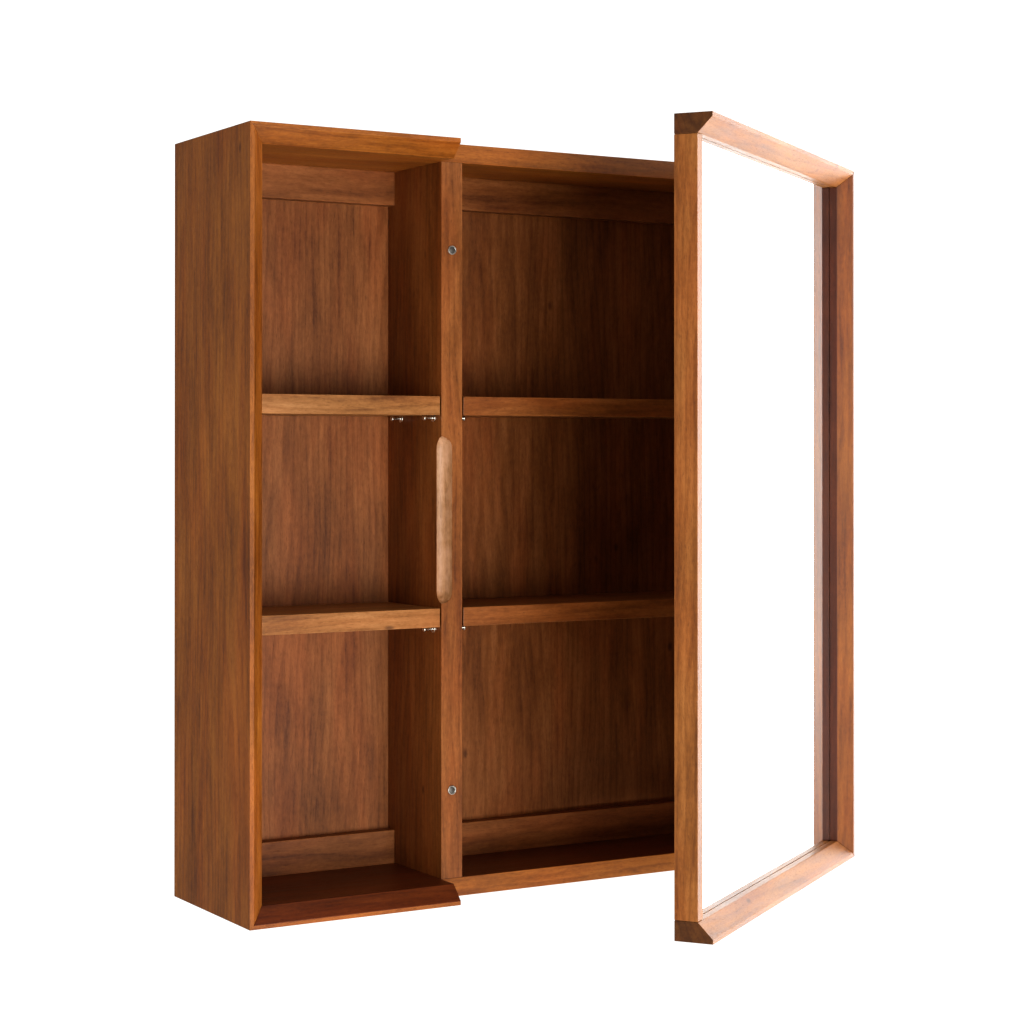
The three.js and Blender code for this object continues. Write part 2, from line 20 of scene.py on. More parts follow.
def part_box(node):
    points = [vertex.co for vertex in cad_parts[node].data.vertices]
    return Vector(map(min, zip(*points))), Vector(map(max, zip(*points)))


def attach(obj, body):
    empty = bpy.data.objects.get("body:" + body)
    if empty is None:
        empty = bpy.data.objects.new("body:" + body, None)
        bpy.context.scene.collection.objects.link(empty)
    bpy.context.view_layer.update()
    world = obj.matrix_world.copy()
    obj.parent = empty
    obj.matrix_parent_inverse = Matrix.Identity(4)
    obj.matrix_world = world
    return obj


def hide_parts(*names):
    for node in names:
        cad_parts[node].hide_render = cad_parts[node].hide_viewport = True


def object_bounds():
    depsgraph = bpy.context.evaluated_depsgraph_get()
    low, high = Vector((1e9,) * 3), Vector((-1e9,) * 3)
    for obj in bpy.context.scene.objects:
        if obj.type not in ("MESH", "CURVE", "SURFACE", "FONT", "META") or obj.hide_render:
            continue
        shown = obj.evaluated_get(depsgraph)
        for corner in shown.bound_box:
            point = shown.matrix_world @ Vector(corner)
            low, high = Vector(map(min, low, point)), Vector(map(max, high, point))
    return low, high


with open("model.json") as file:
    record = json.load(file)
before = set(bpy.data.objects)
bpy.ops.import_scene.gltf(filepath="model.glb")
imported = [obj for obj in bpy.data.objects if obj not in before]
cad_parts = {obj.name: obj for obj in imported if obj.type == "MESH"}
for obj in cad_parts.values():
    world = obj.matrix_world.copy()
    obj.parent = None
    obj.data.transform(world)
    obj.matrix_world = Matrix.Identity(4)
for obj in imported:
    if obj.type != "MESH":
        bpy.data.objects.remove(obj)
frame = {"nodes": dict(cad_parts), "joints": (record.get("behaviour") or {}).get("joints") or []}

bl_info = {
    "name": "Medicine cabinet finish",
    "version": (1, 0, 0),
    "blender": (4, 5, 0),
    "location": "View3D > Sidebar > Cabinet",
    "description": "Wood, mirror and metal fittings of a wall-hung medicine cabinet",
    "category": "Object",
}

MILLIMETRE = 0.001
# Points of one piece that are this close are one point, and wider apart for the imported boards.
MERGE_DISTANCE = 1e-6
BOARD_MERGE_DISTANCE = MERGE_DISTANCE * 10
SHARP_ANGLE = math.radians(30)
FLAT_ANGLE = math.radians(1)

# ---------------------------------------------------------------------------------------
# Places that the frame gives
# ---------------------------------------------------------------------------------------

CAD_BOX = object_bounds()
DOOR_JOINT = next(joint for joint in frame["joints"] if joint["name"] == "door_swing")
HINGE_AXIS = Vector(DOOR_JOINT["pos_m"])
DOOR_OPEN = -math.radians(DOOR_JOINT["range_deg"][0])
# Turns the closed door to where the frame holds it.
DOOR_TURN = (
    Matrix.Translation(HINGE_AXIS)
    @ Matrix.Rotation(DOOR_OPEN, 4, "Z")
    @ Matrix.Translation(-HINGE_AXIS)
)
STANDING = Matrix.Identity(4)
BAYS = ("open_bay", "door_bay")
ENDS = ("lower", "upper")
WALLS = ("left", "right")


def closed_box(node, turn):
    """Lowest and highest corner of a node before its body was turned."""
    back = turn.inverted()
    points = [back @ vertex.co for vertex in frame["nodes"][node].data.vertices]
    low = Vector(map(min, *points))
    high = Vector(map(max, *points))
    return low, high


def tint(code):
    """A colour's linear values from its six hexadecimal digits."""
    shares = [int(code[i:i + 2], 16) / 255 for i in (0, 2, 4)]
    return tuple(s / 12.92 if s <= 0.04045 else ((s + 0.055) / 1.055) ** 2.4 for s in shares)


def scaled(colour, shares):
    """A colour with each of its parts scaled, and none above 1."""
    return tuple(min(value * share, 1.0) for value, share in zip(colour, shares))


def grey(value):
    """A grey, or equal shares for each part of a colour."""
    return (value, value, value)


# ---------------------------------------------------------------------------------------
# Settings
# ---------------------------------------------------------------------------------------


def colour_setting(name, description, code):
    return bpy.props.FloatVectorProperty(
        name=name, description=description, subtype="COLOR", size=3, min=0, max=1,
        default=tint(code),
    )


def length_setting(name, description, millimetres):
    return bpy.props.FloatProperty(
        name=name, description=description, unit="LENGTH", min=0, precision=5,
        default=millimetres * MILLIMETRE,
    )


def share_setting(name, description, default):
    return bpy.props.FloatProperty(
        name=name, description=description, subtype="FACTOR", min=0, max=1, default=default,
    )


def angle_setting(name, description, degrees):
    return bpy.props.FloatProperty(
        name=name, description=description, subtype="ANGLE", default=math.radians(degrees),
    )


class WoodSettings(bpy.types.PropertyGroup):
    """Stain, grain and lacquer of the boards."""

    case_stain: colour_setting("Case stain", "Middle tone of the outer boards", "8A5017")
    shelf_stain: colour_setting("Shelf stain", "Middle tone of shelves and divider", "8F5A26")
    inner_stain: colour_setting("Inner stain", "Middle tone of back panel and rails", "78461D")
    frame_stain: colour_setting("Door frame stain", "Middle tone of the door frame", "84501F")
    raw_tone: colour_setting("Raw wood", "Middle tone of unstained boards", "9A6B42")
    ring_spacing: length_setting("Ring spacing", "From one growth ring to the next", 7.5)
    streak_width: length_setting("Streak width", "Width of the dark and light streaks", 6)
    fibre_width: length_setting("Fibre width", "Width of the fine fibres", 1.1)
    pore_width: length_setting("Pore width", "Width of the open pores", 0.45)
    edge_ease: length_setting("Eased edges", "Width of the sanded edge of a board", 0.5)
    lacquer: share_setting("Lacquer", "Strength of the satin lacquer on the case", 0.12)
    door_lacquer: share_setting("Door lacquer", "Strength of the lacquer on the door", 0.2)
    lacquer_roughness: share_setting("Lacquer roughness", "0 is polished, 1 is chalky", 0.3)
    raw_roughness: share_setting("Wood roughness", "Roughness of the wood itself", 0.5)
    shine: share_setting("Shine", "Specular strength of the wood itself", 0.28)


class MetalSettings(bpy.types.PropertyGroup):
    """Colours and roughness of the metal fittings."""

    nickel: colour_setting("Nickel", "Plated pins, hinges and screws", "D2CEC4")
    nickel_roughness: share_setting("Nickel roughness", "0 is polished, 1 is chalky", 0.24)
    steel: colour_setting("Steel", "Magnet cups, strikes and plates", "B5B2AB")
    steel_roughness: share_setting("Steel roughness", "0 is polished, 1 is chalky", 0.34)
    ferrite: colour_setting("Magnet", "Core of the magnets", "5E5A55")


class MirrorSettings(bpy.types.PropertyGroup):
    """The silvered pane."""

    silver: colour_setting("Silver", "Tint of the reflection", "F7FAF9")
    smudge: share_setting("Smudges", "Roughness of the faint smudges", 0.03)
    arris: length_setting("Arris", "Width of the ground edge", 0.6)


class FittingSettings(bpy.types.PropertyGroup):
    """Sizes of the fittings that their boxes in the frame don't give."""

    pin_radius: length_setting("Pin radius", "Shank and head of a shelf pin", 2.5)
    pin_shank: length_setting("Pin shank", "Length inside the board", 8)
    collar_thickness: length_setting("Collar thickness", "Collar of a shelf pin", 1.2)
    pin_waist: length_setting("Pin waist", "Radius between the collar and the head", 1.3)
    pin_head: length_setting("Pin head", "Length of the head that the shelf rests on", 2.2)
    cup_wall: length_setting("Cup wall", "Rim of the magnet's steel cup", 0.8)
    cup_gap: length_setting("Cup gap", "Groove between the cup and its core", 0.45)
    cup_groove: length_setting("Cup groove", "Depth of that groove", 0.9)
    core_sunk: length_setting("Core depth", "From the rim of the cup down to its core", 0.15)
    spigot: length_setting("Spigot", "Length of the strike's spigot", 3)
    spigot_radius: length_setting("Spigot radius", "Radius of the strike's spigot", 1.5)
    dimple: length_setting("Dimple", "Depth of the dimple in the strike", 0.3)
    plate_thickness: length_setting("Plate thickness", "Retaining plate", 1)
    plate_corner: length_setting("Plate corner", "Corner radius of a retaining plate", 2.5)
    head_radius: length_setting("Head radius", "Screw heads on the retaining plates", 2.6)
    cap_slot: length_setting("Head slots", "Depth of the cross in those screw heads", 0.5)
    pivot_radius: length_setting("Pivot radius", "Hinge pin inside its knuckles", 1.5)
    pivot_head: length_setting("Pivot head", "Thickness of the hinge pin's head", 1.2)
    screw_radius: length_setting("Screw radius", "Core of a hinge screw", 1.2)
    screw_slot: length_setting("Screw slots", "Depth of the cross in a hinge screw", 0.9)


class StageSettings(bpy.types.PropertyGroup):
    """Floor, light and camera."""

    hang_height: bpy.props.FloatProperty(
        name="Hanging height", description="Floor to the underside of the cabinet",
        unit="LENGTH", default=1.2,
    )
    floor_colour: colour_setting("Floor", "Plain pale floor", "F4F3F0")
    camera_place: bpy.props.FloatVectorProperty(
        name="Camera place", description="Where the camera stands", subtype="TRANSLATION",
        unit="LENGTH", size=3, default=(-1.2068, -2.0972, -0.2612),
    )
    camera_turn: angle_setting("Camera turn", "Turn to the right from straight ahead", 30.79)
    camera_tilt: angle_setting("Camera tilt", "Tilt above the horizon", 0.287)
    lens: bpy.props.FloatProperty(
        name="Lens", description="Focal length", unit="CAMERA", default=77.66,
    )
    shift: bpy.props.FloatProperty(
        name="Vertical shift", description="Rise of the lens", default=-0.0714,
    )


class CabinetSettings(bpy.types.PropertyGroup):
    """All settings of the cabinet."""

    wood: bpy.props.PointerProperty(type=WoodSettings)
    metal: bpy.props.PointerProperty(type=MetalSettings)
    mirror: bpy.props.PointerProperty(type=MirrorSettings)
    fittings: bpy.props.PointerProperty(type=FittingSettings)
    stage: bpy.props.PointerProperty(type=StageSettings)


# ---------------------------------------------------------------------------------------
# Shader maths
# ---------------------------------------------------------------------------------------

# Sockets of a Mix node that mixes colours.
MIX_FACTOR = 0
MIX_FIRST = 6
MIX_SECOND = 7
MIX_RESULT = 2


class Socket:
    """An output socket of a node tree, for writing shader maths as expressions."""

    def __init__(self, tree, output):
        self.tree = tree
        self.output = output

    def node(self, kind, settings, inputs, output=0):
        """Adds a node. Its settings are set first, then the values or links of its inputs."""
        made = self.tree.nodes.new(kind)
        for name, value in settings.items():
            if name == "stops":
                set_stops(made.color_ramp, value)
            else:
                setattr(made, name, value)
        for name, value in inputs.items():
            if isinstance(value, Socket):
                self.tree.links.new(value.output, made.inputs[name])
            else:
                made.inputs[name].default_value = value
        return Socket(self.tree, made.outputs[output])

    def math(self, operation, first, second):
        return self.node("ShaderNodeMath", {"operation": operation}, {0: first, 1: second})

    def __add__(self, other):
        return self.math("ADD", self, other)

    def __radd__(self, other):
        return self.math("ADD", other, self)

    def __sub__(self, other):
        return self.math("SUBTRACT", self, other)

    def __rsub__(self, other):
        return self.math("SUBTRACT", other, self)

    def __mul__(self, other):
        return self.math("MULTIPLY", self, other)

    def __rmul__(self, other):
        return self.math("MULTIPLY", other, self)

    def __truediv__(self, other):
        return self.math("DIVIDE", self, other)

    def __mod__(self, other):
        return self.math("FLOORED_MODULO", self, other)

    def vector_math(self, operation, *others, output=0):
        """Vector maths on this and the others. Its output 1 is a number."""
        inputs = dict(enumerate((self, *others)))
        return self.node("ShaderNodeVectorMath", {"operation": operation}, inputs, output)

    def times(self, shares):
        """A colour or a vector with each of its parts scaled."""
        return self.vector_math("MULTIPLY", shares)

    def dot(self, direction):
        """How far this reaches in a direction."""
        return self.vector_math("DOT_PRODUCT", direction, output=1)

    def height(self):
        """The Z of this."""
        return self.node("ShaderNodeSeparateXYZ", {}, {0: self}, 2)

    def stretched(self, across, along):
        """Coordinates with one unit for each width across and each length along Z."""
        return self.times((1 / across, 1 / across, 1 / along))

    def noise(self, detail=2.0, roughness=0.5, output=0):
        """Noise with its features about a unit wide. Its output 1 is a colour."""
        values = {"Vector": self, "Scale": 1.0, "Detail": detail, "Roughness": roughness}
        return self.node("ShaderNodeTexNoise", {}, values, output)

    def spots(self):
        """Distance to the nearest of the points that are strewn one to a unit."""
        return self.node("ShaderNodeTexVoronoi", {}, {"Vector": self, "Scale": 1.0})

    def step(self, low, high):
        """0 under low, 1 over high, smooth between."""
        return self.node(
            "ShaderNodeMapRange",
            {"interpolation_type": "SMOOTHSTEP"},
            {"Value": self, "From Min": low, "From Max": high},
        )

    def ramp(self, *stops):
        """The colour that its (place, colour) stops give to this value."""
        return self.node("ShaderNodeValToRGB", {"stops": stops}, {0: self})

    def mixed(self, first, second):
        """The first colour where this is 0, the second where it is 1."""
        inputs = {MIX_FACTOR: self, MIX_FIRST: opaque(first), MIX_SECOND: opaque(second)}
        return self.node("ShaderNodeMix", {"data_type": "RGBA"}, inputs, MIX_RESULT)


def opaque(colour):
    """A colour with its alpha, unless it comes from a socket."""
    return colour if isinstance(colour, Socket) else (*colour, 1.0)


def set_stops(ramp, stops):
    """Gives a ramp its (place, colour) stops. It comes with one at each end."""
    while len(ramp.elements) < len(stops):
        ramp.elements.new(0.5)
    for element, (place, colour) in zip(ramp.elements, stops):
        element.position = place
        element.color = (*colour, 1.0)


def new_material(name):
    """An empty material. Returns it, its shader and the piece's own coordinates."""
    material = bpy.data.materials.new(name)
    material.use_nodes = True
    tree = material.node_tree
    shader = next(node for node in tree.nodes if node.type == "BSDF_PRINCIPLED")
    coordinates = tree.nodes.new("ShaderNodeTexCoord")
    return material, shader, Socket(tree, coordinates.outputs["Object"])


def feed(shader, name, value):
    """Links a socket, or sets its value, on a material's shader."""
    if isinstance(value, Socket):
        value.tree.links.new(value.output, shader.inputs[name])
    else:
        shader.inputs[name].default_value = value


def bumped(height, strength, distance):
    """A normal from a height."""
    values = {"Strength": strength, "Distance": distance, "Height": height}
    return height.node("ShaderNodeBump", {}, values)


# ---------------------------------------------------------------------------------------
# Wood
# ---------------------------------------------------------------------------------------

# Turns that lay the grain's Z along the board.
UPRIGHT = Matrix.Identity(3)
LEVEL = Matrix.Rotation(math.radians(-90), 3, "Y")
DOOR_BACK_TURN = Matrix.Rotation(-DOOR_OPEN, 3, "Z")

# Shares of a board's stain that its figure shows.
DARK_SHARES = (0.50, 0.42, 0.27)
LIGHT_SHARES = (1.50, 1.68, 2.30)
RED_SHARES = (1.06, 0.86, 0.72)
END_SHARES = (0.36, 0.33, 0.22)
KNOT_SHARES = (0.34, 0.26, 0.22)
PORE_SHARES = grey(0.6)

# Shares for stain that was put on thinly or thickly; three of them carry painted shade, as noted at
# each.
BARE_STAIN = (1.15, 1.52, 3.30)
PALE_STAIN = (1.00, 1.10, 1.45)
# Darker shares; on the door bay's shelves they are painted shade of the open door.
DARKER_SHARES = (0.75, 0.65, 0.60)
# Painted shade: the hinge stile is drawn darker than the rest of the door frame, as it faces away
# from the light.
HINGE_SHADE_SHARES = (0.65, 0.54, 0.30)
# Painted shade, for the bottom board's upward faces and the hinge stile's lip.
PAINTED_SHADE_SHARES = (0.42, 0.27, 0.24)

# Width across and length along the grain of the patterns that no setting gives.
CLOUDS = (0.06, 0.22)
MOTTLE = (0.004, 0.006)
RED_PATCHES = (0.03, 0.15)
RUBBED_HIGHLIGHT_PATCHES = (0.012, 0.012)
KNOT_SPACING = (0.055, 0.11)
# The same of the drift of the grain and of the rings, and how far each drifts.
GRAIN_DRIFT = (0.035, 0.14, 0.012)
RING_DRIFT = (0.07, 0.45, 0.05)
# How far a ring leans over along the board, for each metre.
RING_LEAN = 0.02

# Lengths along the grain, and the bands' width, for each width that a setting gives.
STREAK_LENGTH = 9
BAND_WIDTH = 3
BAND_LENGTH = 24
FIBRE_LENGTH = 9
PORE_LENGTH = 16

# How much each pattern adds to the tone, and what brings the sum's middle to the stain itself.
STREAK_TONE = 1.1
BAND_TONE = 0.9
CLOUD_TONE = 0.9
FIBRE_TONE = 0.45
MOTTLE_TONE = 0.5
RING_TONE = -0.2
MIDDLE_TONE = -1.32

# Distances over which the stain of end grain, and the painted shade of a shaded face, fades.
END_FADE = (0.1 * MILLIMETRE, 0.4 * MILLIMETRE)
FACE_FADE = (0.2 * MILLIMETRE, 0.5 * MILLIMETRE)

# Depth of the open grain.
GRAIN_RELIEF = 0.25 * MILLIMETRE

# The flat at the front of a bevelled board, under its slope.
NOSE = 4.4 * MILLIMETRE

# Places of the worn edges, lighter as wear and as painted highlight, and of the bare recess among a
# board's materials.
EDGE_MATERIAL = 1
RECESS_MATERIAL = 2
# The recess's faces are sunk at least this far.
RECESS_LEAST = 0.5 * MILLIMETRE


def shaded_faces():
    """Faces that are drawn darker as painted shade: an axis, a point on the face, and its shares.

    They are the bottom board's top and front slope, painted shade as they face up away from the low
    light, and the hinge stile's lip, painted shade in its recess by the mirror.
    """
    low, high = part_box("bottom_board")
    slope = Vector((0.0, low.y + high.z - low.z - NOSE, high.z))
    lip, _ = closed_box("door_hinge_stile", DOOR_TURN)
    return {
        "bottom_board": (
            (Vector((0.0, 0.0, 1.0)), high, PAINTED_SHADE_SHARES),
            (Vector((0.0, -1.0, 1.0)).normalized(), slope, PAINTED_SHADE_SHARES),
        ),
        "door_hinge_stile": (
            (DOOR_TURN.to_3x3() @ Vector((1.0, 0.0, 0.0)), DOOR_TURN @ lip, PAINTED_SHADE_SHARES),
        ),
    }


SHADED_FACES = shaded_faces()


def board_grain(place, node, turn):
    """Coordinates of one board, cut from its own log: Z along the grain, the heart on Z.

    Returns them, and how far along Z the board's two ends are.
    """
    draw = random.Random(node)
    points = [turn @ vertex.co for vertex in frame["nodes"][node].data.vertices]
    low = Vector(map(min, *points))
    high = Vector(map(max, *points))
    from_heart = Vector((draw.uniform(-0.03, 0.03), draw.uniform(0.05, 0.09), draw.uniform(-2, 2)))
    shift = from_heart - (low + high) / 2
    values = {"Vector": place, "Location": shift, "Rotation": turn.to_euler()}
    grain = place.node("ShaderNodeMapping", {"vector_type": "POINT"}, values)
    return grain, low.z + shift.z, high.z + shift.z


def wandering(grain, width, length, reach):
    """Grain that drifts to and fro across the board by up to about half its reach."""
    drift = grain.stretched(width, length).noise(output=1)
    centred = drift.vector_math("SUBTRACT", grey(0.5))
    return centred.vector_math("MULTIPLY_ADD", (reach, reach, 0.0), grain)


def growth_rings(grain, along, spacing):
    """1 in the dark late wood of each ring, fading to 0 in its early wood."""
    across = wandering(grain, *RING_DRIFT).times((1.0, 1.0, 0.0))
    radius = across.vector_math("LENGTH", output=1)
    turns = (radius + along * RING_LEAN) / spacing
    return (turns % 1.0).ramp(
        (0.0, grey(0.35)),
        (0.10, grey(0.0)),
        (0.62, grey(0.25)),
        (0.92, grey(1.0)),
        (1.0, grey(0.35)),
    )


def on_plane(place, axis, point):
    """1 on the plane through a point and square to an axis, 0 away from it."""
    away = place.dot(axis) - axis.dot(point)
    return 1.0 - away.math("ABSOLUTE", away, 0.0).step(*FACE_FADE)


def wood(name, node, turn, stain, settings, lacquer, worn_and_highlit):
    """Wood of one board. Worn wood is that of its sanded edges, where the stain is thin, with
    lighter patches that are also painted highlight.
    """
    material, shader, place = new_material(name)
    straight, bottom, top = board_grain(place, node, turn)
    along = straight.height()
    rings = growth_rings(straight, along, settings.ring_spacing)
    grain = wandering(straight, *GRAIN_DRIFT)
    streak = settings.streak_width
    streaks = grain.stretched(streak, streak * STREAK_LENGTH).noise(4.0, 0.66)
    bands = grain.stretched(streak * BAND_WIDTH, streak * BAND_LENGTH).noise()
    clouds = grain.stretched(*CLOUDS).noise()
    fibre = settings.fibre_width
    fibres = grain.stretched(fibre, fibre * FIBRE_LENGTH).noise(3.0, 0.6)
    mottle = grain.stretched(*MOTTLE).noise(3.0, 0.7)
    pore = settings.pore_width
    pores = grain.stretched(pore, pore * PORE_LENGTH).noise(1.0).step(0.60, 0.74)
    knots = 1.0 - grain.stretched(*KNOT_SPACING).spots().step(0.015, 0.07)
    near, far = END_FADE
    ends = 1.0 - along.step(bottom + near, bottom + far) + along.step(top - far, top - near)

    dark = scaled(stain, DARK_SHARES)
    light = scaled(stain, LIGHT_SHARES)
    tone = streaks * STREAK_TONE + bands * BAND_TONE + clouds * CLOUD_TONE
    tone = tone + fibres * FIBRE_TONE + mottle * MOTTLE_TONE + rings * RING_TONE + MIDDLE_TONE
    colour = tone.ramp((0.05, dark), (0.5, tuple(stain)), (0.95, light))
    red = grain.stretched(*RED_PATCHES).noise().step(0.35, 0.75) * 0.7
    colour = red.mixed(colour, colour.times(RED_SHARES))
    colour = (pores * 0.5).mixed(colour, scaled(dark, PORE_SHARES))
    colour = (knots * 0.8).mixed(colour, scaled(stain, KNOT_SHARES))
    # Lighter rubbed patches on the edges: wear, and painted highlight along them.
    if worn_and_highlit:
        rubbed_highlight = place.stretched(*RUBBED_HIGHLIGHT_PATCHES).noise(3.0).step(0.3, 0.75) * 0.5
        colour = rubbed_highlight.mixed(colour, light)
    # Painted shade on the bottom board's upward faces and on the hinge stile's lip.
    for axis, point, shares in SHADED_FACES.get(node, ()):
        colour = on_plane(place, axis, point).mixed(colour, colour.times(shares))
    colour = ends.mixed(colour, colour.times(END_SHARES))
    height = fibres * 0.5 + streaks * 0.3 - pores * 0.8
    feed(shader, "Base Color", colour)
    feed(shader, "Roughness", settings.raw_roughness + (streaks - 0.5) * 0.3 + pores * 0.2)
    feed(shader, "Normal", bumped(height, 0.35, GRAIN_RELIEF))
    feed(shader, "Specular IOR Level", settings.shine)
    feed(shader, "Coat Weight", lacquer)
    feed(shader, "Coat Roughness", settings.lacquer_roughness)
    return material


def wear(piece, node, turn, stain, settings, lacquer):
    """Gives a board its wood and, after it, the wood of its eased edges: wear and painted
    highlight.
    """
    materials = piece.data.materials
    for worn_and_highlit, name in enumerate((f"{node}_wood", f"{node}_edges")):
        materials.append(wood(name, node, turn, stain, settings, lacquer, bool(worn_and_highlit)))


def ease_edges(piece, width):
    """Sands a board's edges down to the wood that wear() gave them."""
    bevel = piece.modifiers.new("Eased edges", "BEVEL")
    bevel.width = width
    bevel.segments = 2
    bevel.limit_method = "ANGLE"
    bevel.angle_limit = SHARP_ANGLE
    bevel.material = EDGE_MATERIAL


def finish_board(node, turn, stain, settings, lacquer):
    """Stains a CAD board and eases its edges."""
    board = frame["nodes"][node]
    board.data.materials.clear()
    wear(board, node, turn, stain, settings, lacquer)
    weld = board.modifiers.new("Joined faces", "WELD")
    weld.merge_threshold = BOARD_MERGE_DISTANCE
    flat = board.modifiers.new("Whole faces", "DECIMATE")
    flat.decimate_type = "DISSOLVE"
    flat.angle_limit = FLAT_ANGLE
    ease_edges(board, settings.edge_ease)


# ---------------------------------------------------------------------------------------
# Metal and mirror
# ---------------------------------------------------------------------------------------

METAL_RELIEF = 0.05 * MILLIMETRE
TARNISH_SHARES = (0.72, 0.68, 0.6)
HAZE_SHARES = (0.985, 0.985, 0.98)


def metal(name, colour, roughness):
    """Plated or bare metal with faint tarnish and handling marks."""
    material, shader, place = new_material(name)
    tarnish = place.stretched(0.004, 0.004).noise(4.0, 0.6).step(0.35, 0.8)
    marks = place.stretched(0.0007, 0.0012).noise(2.0)
    feed(shader, "Base Color", (tarnish * 0.45).mixed(colour, scaled(colour, TARNISH_SHARES)))
    feed(shader, "Metallic", 1.0)
    feed(shader, "Roughness", roughness + tarnish * 0.14 + (marks - 0.5) * 0.12)
    feed(shader, "Normal", bumped(marks, 0.15, METAL_RELIEF))
    return material


def ferrite(name, colour):
    """The sintered core of a magnet."""
    material, shader, place = new_material(name)
    specks = place.stretched(0.0005, 0.0005).noise(3.0, 0.7)
    feed(shader, "Base Color", specks.step(0.3, 0.7).mixed(scaled(colour, grey(0.8)), colour))
    feed(shader, "Metallic", 0.6)
    feed(shader, "Roughness", 0.4 + (specks - 0.5) * 0.3)
    feed(shader, "Normal", bumped(specks, 0.3, METAL_RELIEF))
    return material


def silvered_glass(name, settings):
    """A clean mirror with the faintest haze where it was wiped."""
    material, shader, place = new_material(name)
    haze = place.stretched(0.09, 0.09).noise(3.0, 0.55).step(0.45, 0.85)
    wiping = place.stretched(0.01, 0.15).noise(2.0)
    silver = tuple(settings.silver)
    feed(shader, "Base Color", haze.mixed(silver, scaled(silver, HAZE_SHARES)))
    feed(shader, "Metallic", 1.0)
    feed(shader, "Roughness", haze * wiping * settings.smudge)
    return material


# ---------------------------------------------------------------------------------------
# Mesh work
# ---------------------------------------------------------------------------------------

# Sides of turned pins and screws, and of turned discs.
PIN_SIDES = 32
DISC_SIDES = 40

# How far the rims and edges of metal pieces are rounded.
PIN_ROUNDING = 0.35 * MILLIMETRE
PIVOT_ROUNDING = 0.3 * MILLIMETRE
PLATE_ROUNDING = 0.2 * MILLIMETRE
RIM_ROUNDING = 0.12 * MILLIMETRE

# Height of the straight side of a screw's head.
HEAD_LAND = 0.1 * MILLIMETRE

# Half the width of a cross recess's slots, and the width of its floor, for each unit of reach.
SLOT_SHARE = 0.3
FLOOR_SHARE = 0.55


def sharp_edges(shape):
    return [edge for edge in shape.edges if edge.calc_face_angle(0) > SHARP_ANGLE]


def rounded(shape, edges, radius, segments=2):
    """Rounds edges, or chamfers them with one segment. Where the room is short, ends are welded."""
    bmesh.ops.bevel(
        shape, geom=edges, offset=radius, offset_type="OFFSET", affect="EDGES",
        segments=segments, profile=0.5, material=-1, clamp_overlap=True,
    )
    bmesh.ops.remove_doubles(shape, verts=shape.verts, dist=MERGE_DISTANCE)


def shade(shape):
    """Smooth over gentle angles, crisp over sharp ones."""
    for face in shape.faces:
        face.smooth = True
    for edge in shape.edges:
        edge.smooth = edge.calc_face_angle(0) < SHARP_ANGLE


def turned_shell(profile, sides):
    """A shell turned about +Z from its [radius, height] points, open where they leave the axis."""
    shape = bmesh.new()
    points = [shape.verts.new((radius, 0.0, height)) for radius, height in profile]
    edges = [shape.edges.new(pair) for pair in zip(points, points[1:])]
    bmesh.ops.spin(
        shape, geom=points + edges, cent=(0, 0, 0), axis=(0, 0, 1), angle=math.tau,
        steps=sides, use_merge=True,
    )
    bmesh.ops.remove_doubles(shape, verts=shape.verts, dist=MERGE_DISTANCE)
    return shape


def turned(profile, sides, rounding):
    """A turned piece whose profile starts and ends on the axis, with its sharp rims rounded."""
    shape = turned_shell(profile, sides)
    bmesh.ops.recalc_face_normals(shape, faces=shape.faces)
    rounded(shape, sharp_edges(shape), rounding)
    return shape


def slab(low, high):
    """A block between two corners."""
    shape = bmesh.new()
    bmesh.ops.create_cube(shape, size=1)
    size = high - low
    matrix = Matrix.Translation((low + high) / 2) @ Matrix.Diagonal((*size, 1))
    bmesh.ops.transform(shape, matrix=matrix, verts=shape.verts)
    return shape


def cross_loop(shape, reach, half_width, height):
    """The twelve-cornered outline of a cross recess, as edges."""
    corners = []
    for quarter in range(4):
        turn = Matrix.Rotation(quarter * math.pi / 2, 3, "Z")
        for x, y in ((half_width, half_width), (half_width, reach), (-half_width, reach)):
            corners.append(shape.verts.new(turn @ Vector((x, y, height))))
    return [shape.edges.new(pair) for pair in zip(corners, corners[1:] + corners[:1])]


def cross_recess(shape, rim, reach, height, depth):
    """Closes a round rim with a flat face that has a cross recess."""
    outline = cross_loop(shape, reach, reach * SLOT_SHARE, height)
    bmesh.ops.bridge_loops(shape, edges=rim + outline)
    walls = bmesh.ops.extrude_edge_only(shape, edges=outline)["geom"]
    bottom = [item for item in walls if isinstance(item, bmesh.types.BMVert)]
    narrowed = Matrix.Diagonal((FLOOR_SHARE, FLOOR_SHARE, 1, 1))
    sink = Matrix.Translation((0, 0, -depth)) @ narrowed
    bmesh.ops.transform(shape, matrix=sink, verts=bottom)
    floor = [item for item in walls if isinstance(item, bmesh.types.BMEdge)]
    bmesh.ops.contextual_create(shape, geom=floor)


def rim_at(shape, height):
    """The open edges at a height."""
    return [
        edge for edge in shape.edges
        if edge.is_boundary and all(abs(v.co.z - height) < MERGE_DISTANCE for v in edge.verts)
    ]


def joined(target, source):
    """Adds one bmesh to another and frees it."""
    spare = bpy.data.meshes.new("spare")
    source.to_mesh(spare)
    source.free()
    target.from_mesh(spare)
    bpy.data.meshes.remove(spare)


def merged_copy(node):
    """A CAD node's shape as whole faces with shared vertices."""
    shape = bmesh.new()
    shape.from_mesh(frame["nodes"][node].data)
    bmesh.ops.remove_doubles(shape, verts=shape.verts, dist=BOARD_MERGE_DISTANCE)
    bmesh.ops.dissolve_limit(
        shape, angle_limit=FLAT_ANGLE, verts=shape.verts, edges=shape.edges,
        use_dissolve_boundaries=False,
    )
    return shape


